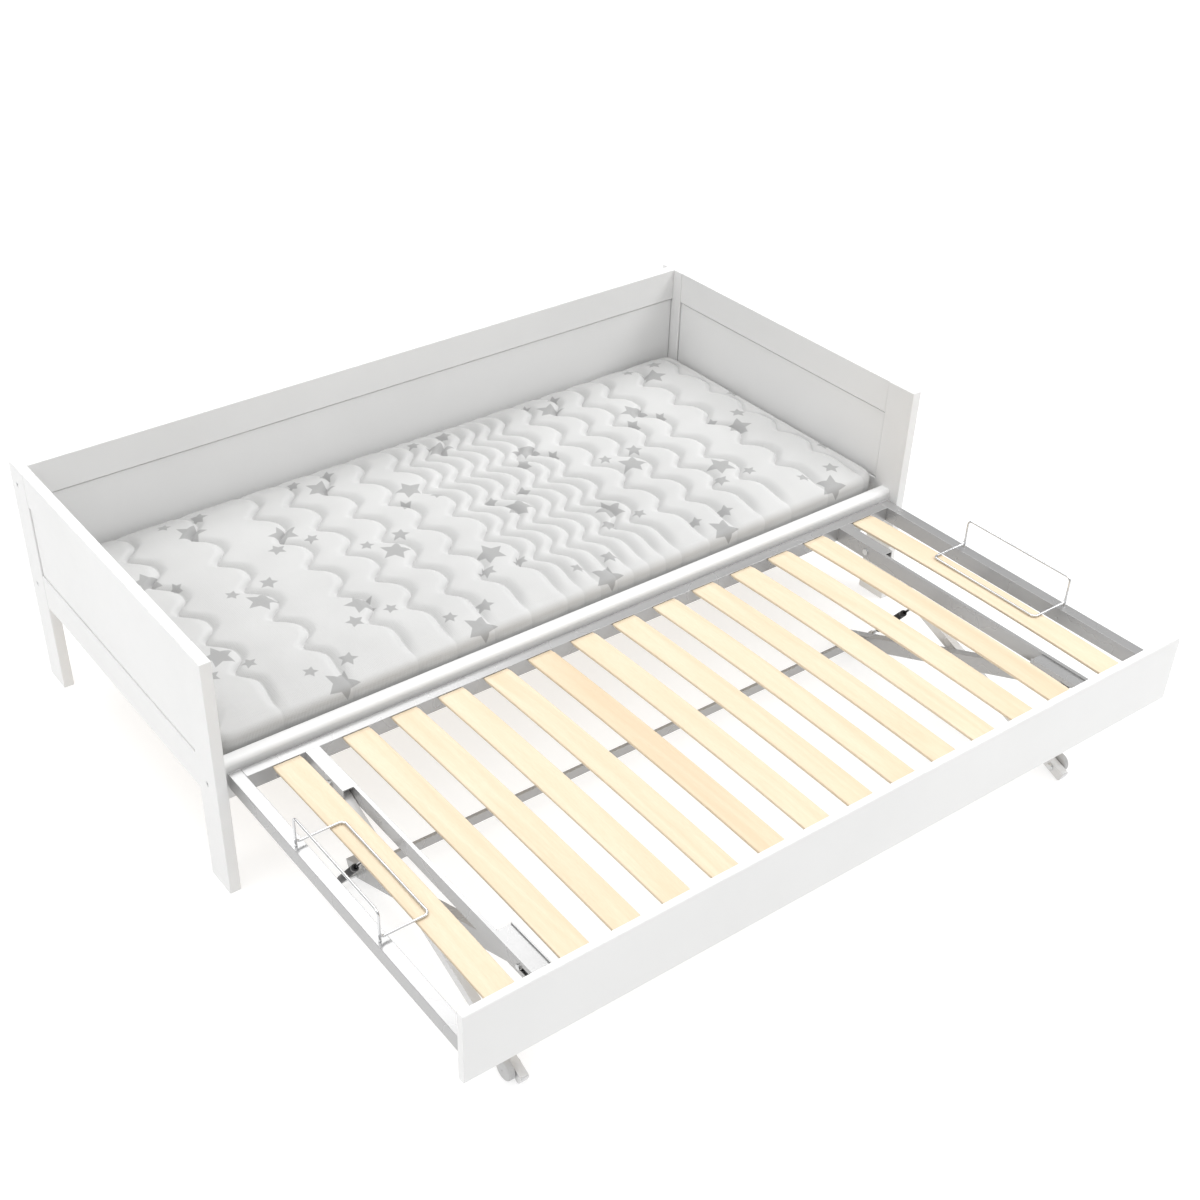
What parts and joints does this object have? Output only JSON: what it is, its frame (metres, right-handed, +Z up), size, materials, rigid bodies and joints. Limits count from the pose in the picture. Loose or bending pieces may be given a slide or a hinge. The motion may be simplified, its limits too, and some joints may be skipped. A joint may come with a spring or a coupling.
{
  "type": "trundle bed",
  "caption": "Low day bed with panelled back and ends, quilted mattress, and a slatted trundle on a wheeled scissor lift pulled out in front and raised.",
  "frame": {"origin": "on the floor, at the centre of the footprint of the bed with its trundle pulled out", "axes": "+X along the bed, +Y to its panelled back, +Z up"},
  "size_m": [2.07, 1.916, 0.64],
  "materials": {
    "white_lacquer": "white satin lacquer over fine-grained board",
    "pine": "raw planed pine",
    "birch": "pale laminated birch, matt",
    "webbing": "woven tape",
    "mattress_cover": "white knitted cover with wavy quilting seams",
    "zinc_steel": "zinc plated",
    "grey_plastic": "matt",
    "white_plastic": "matt light grey nylon",
    "polished_rod": "ground and polished",
    "black_steel": "black semi-gloss",
    "wire": "glossy pale wire",
    "white_steel": "white powder coat"
  },
  "bodies": {
    "bed": {"post_front_left": "white_lacquer", "post_rear_left": "white_lacquer", "post_front_right": "white_lacquer", "post_rear_right": "white_lacquer", "end_top_rail_left": "white_lacquer", "end_low_rail_left": "white_lacquer", "end_panel_left": "white_lacquer", "end_top_rail_right": "white_lacquer", "end_low_rail_right": "white_lacquer", "end_panel_right": "white_lacquer", "back_top_rail": "white_lacquer", "back_low_rail": "white_lacquer", "back_panel": "white_lacquer", "front_side_rail": "white_lacquer", "slat_ledges": "pine", "base_slats": "pine", "slat_webbing": "webbing", "bed_bolts": "zinc_steel", "barrel_nuts": "zinc_steel", "post_glides": "grey_plastic", "mattress": "mattress_cover"},
    "trundle_frame": {"trundle_front": "white_lacquer", "front_screws": "zinc_steel", "frame_bar_front": "white_steel", "frame_bar_rear": "white_steel", "frame_bar_left": "white_steel", "frame_bar_right": "white_steel", "bar_plugs": "white_plastic", "cross_rail_left": "white_steel", "cross_rail_right": "white_steel", "slide_tracks": "white_steel", "slat_end_left": "birch", "slat_end_right": "birch", "slats_left": "birch", "slats_right": "birch", "slat_seats": "white_steel", "mattress_stop_left": "wire", "mattress_stop_right": "wire", "stop_screws": "zinc_steel", "upper_pivot_bolts": "zinc_steel"},
    "carriage": {"rear_axles": "zinc_steel"},
    "inner_arms": {"inner_arm_left": "white_steel", "inner_arm_right": "white_steel", "link_bar": "white_steel", "mid_pivot_bolts": "zinc_steel", "arm_pins": "zinc_steel"},
    "outer_arm_left": {"outer_arm_left": "white_steel", "front_axle_left": "zinc_steel"},
    "rear_wheel_left": {"rear_wheel_left": "white_plastic"},
    "front_wheel_left": {"front_wheel_left": "white_plastic"},
    "slide_rollers_left": {"slide_rollers_left": "white_plastic"},
    "gas_rod_left": {"gas_rod_left": "polished_rod"},
    "gas_cylinder_left": {"gas_cylinder_left": "black_steel"},
    "outer_arm_right": {"outer_arm_right": "white_steel", "front_axle_right": "zinc_steel"},
    "rear_wheel_right": {"rear_wheel_right": "white_plastic"},
    "front_wheel_right": {"front_wheel_right": "white_plastic"},
    "slide_rollers_right": {"slide_rollers_right": "white_plastic"},
    "gas_rod_right": {"gas_rod_right": "polished_rod"},
    "gas_cylinder_right": {"gas_cylinder_right": "black_steel"}
  },
  "joints": [
    {"name": "trundle_roll", "type": "slide", "parent": "bed", "child": "carriage", "axis": [0, -1, 0], "range_m": [0, 0.6]},
    {"name": "lift", "type": "hinge", "parent": "carriage", "child": "inner_arms", "pos_m": [0, -0.173, 0.025], "axis": [1, 0, 0], "range_deg": [0, 15.48]},
    {"name": "scissor_left", "type": "hinge", "parent": "inner_arms", "child": "outer_arm_left", "pos_m": [-0.805, -0.5065, 0.1615], "axis": [1, 0, 0], "range_deg": [-30.98, 0]},
    {"name": "scissor_right", "type": "hinge", "parent": "inner_arms", "child": "outer_arm_right", "pos_m": [0.805, -0.5065, 0.1615], "axis": [1, 0, 0], "range_deg": [-30.98, 0]},
    {"name": "frame_level", "type": "hinge", "parent": "outer_arm_left", "child": "trundle_frame", "pos_m": [-0.805, -0.173, 0.298], "axis": [1, 0, 0], "range_deg": [0, 15.5]},
    {"name": "gas_swing_left", "type": "hinge", "parent": "inner_arms", "child": "gas_cylinder_left", "pos_m": [-0.835, -0.19193, 0.02627], "axis": [1, 0, 0], "range_deg": [0, 15.97]},
    {"name": "gas_stroke_left", "type": "slide", "parent": "gas_cylinder_left", "child": "gas_rod_left", "axis": [0, -0.6157, 0.788], "range_m": [-0.07069, 0]},
    {"name": "gas_swing_right", "type": "hinge", "parent": "inner_arms", "child": "gas_cylinder_right", "pos_m": [0.835, -0.19193, 0.02627], "axis": [1, 0, 0], "range_deg": [0, 15.97]},
    {"name": "gas_stroke_right", "type": "slide", "parent": "gas_cylinder_right", "child": "gas_rod_right", "axis": [0, -0.6157, 0.788], "range_m": [-0.07069, 0]},
    {"name": "rear_wheel_spin_left", "type": "hinge", "parent": "carriage", "child": "rear_wheel_left", "pos_m": [-0.7445, -0.173, 0.025], "axis": [1, 0, 0], "continuous": true},
    {"name": "front_wheel_spin_left", "type": "hinge", "parent": "outer_arm_left", "child": "front_wheel_left", "pos_m": [-0.8255, -0.84, 0.025], "axis": [1, 0, 0], "continuous": true},
    {"name": "slide_roller_spin_left", "type": "hinge", "parent": "inner_arms", "child": "slide_rollers_left", "pos_m": [-0.77, -0.84, 0.298], "axis": [1, 0, 0], "continuous": true},
    {"name": "rear_wheel_spin_right", "type": "hinge", "parent": "carriage", "child": "rear_wheel_right", "pos_m": [0.7445, -0.173, 0.025], "axis": [1, 0, 0], "continuous": true},
    {"name": "front_wheel_spin_right", "type": "hinge", "parent": "outer_arm_right", "child": "front_wheel_right", "pos_m": [0.8255, -0.84, 0.025], "axis": [1, 0, 0], "continuous": true},
    {"name": "slide_roller_spin_right", "type": "hinge", "parent": "inner_arms", "child": "slide_rollers_right", "pos_m": [0.77, -0.84, 0.298], "axis": [1, 0, 0], "continuous": true}
  ],
  "couplings": [
    {"joint": "scissor_left", "follows": "lift", "ratio": -2},
    {"joint": "scissor_right", "follows": "lift", "ratio": -2},
    {"joint": "frame_level", "follows": "lift", "ratio": 1},
    {"joint": "gas_swing_left", "follows": "lift", "ratio": 1.0307},
    {"joint": "gas_stroke_left", "follows": "lift", "m_per_rad": -0.26136},
    {"joint": "gas_swing_right", "follows": "lift", "ratio": 1.0307},
    {"joint": "gas_stroke_right", "follows": "lift", "m_per_rad": -0.26136}
  ]
}
